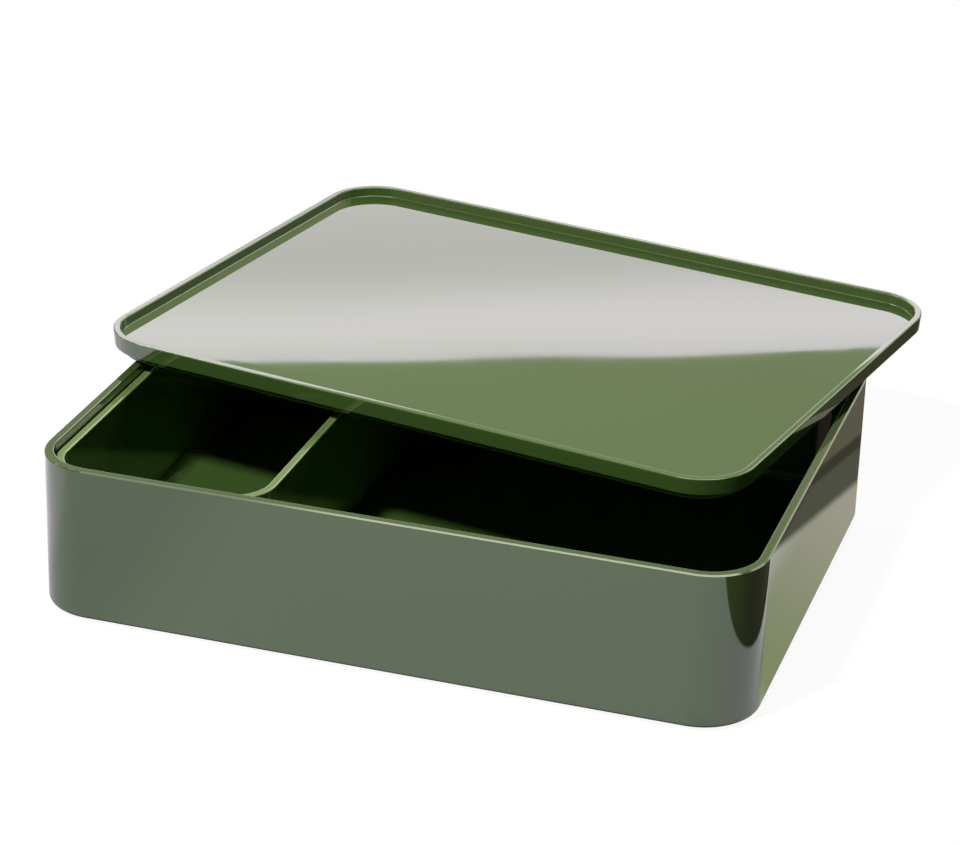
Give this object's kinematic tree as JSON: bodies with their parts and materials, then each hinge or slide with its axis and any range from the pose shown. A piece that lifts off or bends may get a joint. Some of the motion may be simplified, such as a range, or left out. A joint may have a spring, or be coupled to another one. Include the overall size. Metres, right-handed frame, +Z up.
{
  "type": "desk organizer box with lift-off lid",
  "caption": "Shallow rounded desk box with a full-depth insert tray inside and a loose raised-rim lid lying turned across its back.",
  "frame": {"origin": "centre of the box's flat underside; the feet stand 1 mm below it", "axes": "+Z up, -Y towards the front of the box, +X to its right"},
  "size_m": [0.2732, 0.2738, 0.0654],
  "materials": {
    "green_plastic": "high-gloss olive green, moulded",
    "foot_rubber": "matt dark grey"
  },
  "bodies": {
    "box_body": {"box": "green_plastic", "foot_front_left": "foot_rubber", "foot_front_right": "foot_rubber", "foot_back_left": "foot_rubber", "foot_back_right": "foot_rubber"},
    "insert_body": {"insert_tray": "green_plastic"},
    "lid_body": {"lid": "green_plastic"}
  },
  "joints": [
    {"name": "insert_lift", "type": "slide", "parent": "box_body", "child": "insert_body", "axis": [0, 0, 1], "range_m": [0, 0.06]},
    {"name": "lid_lift", "type": "slide", "parent": "insert_body", "child": "lid_body", "axis": [0, 0, 1], "range_m": [0, 0.12]}
  ]
}
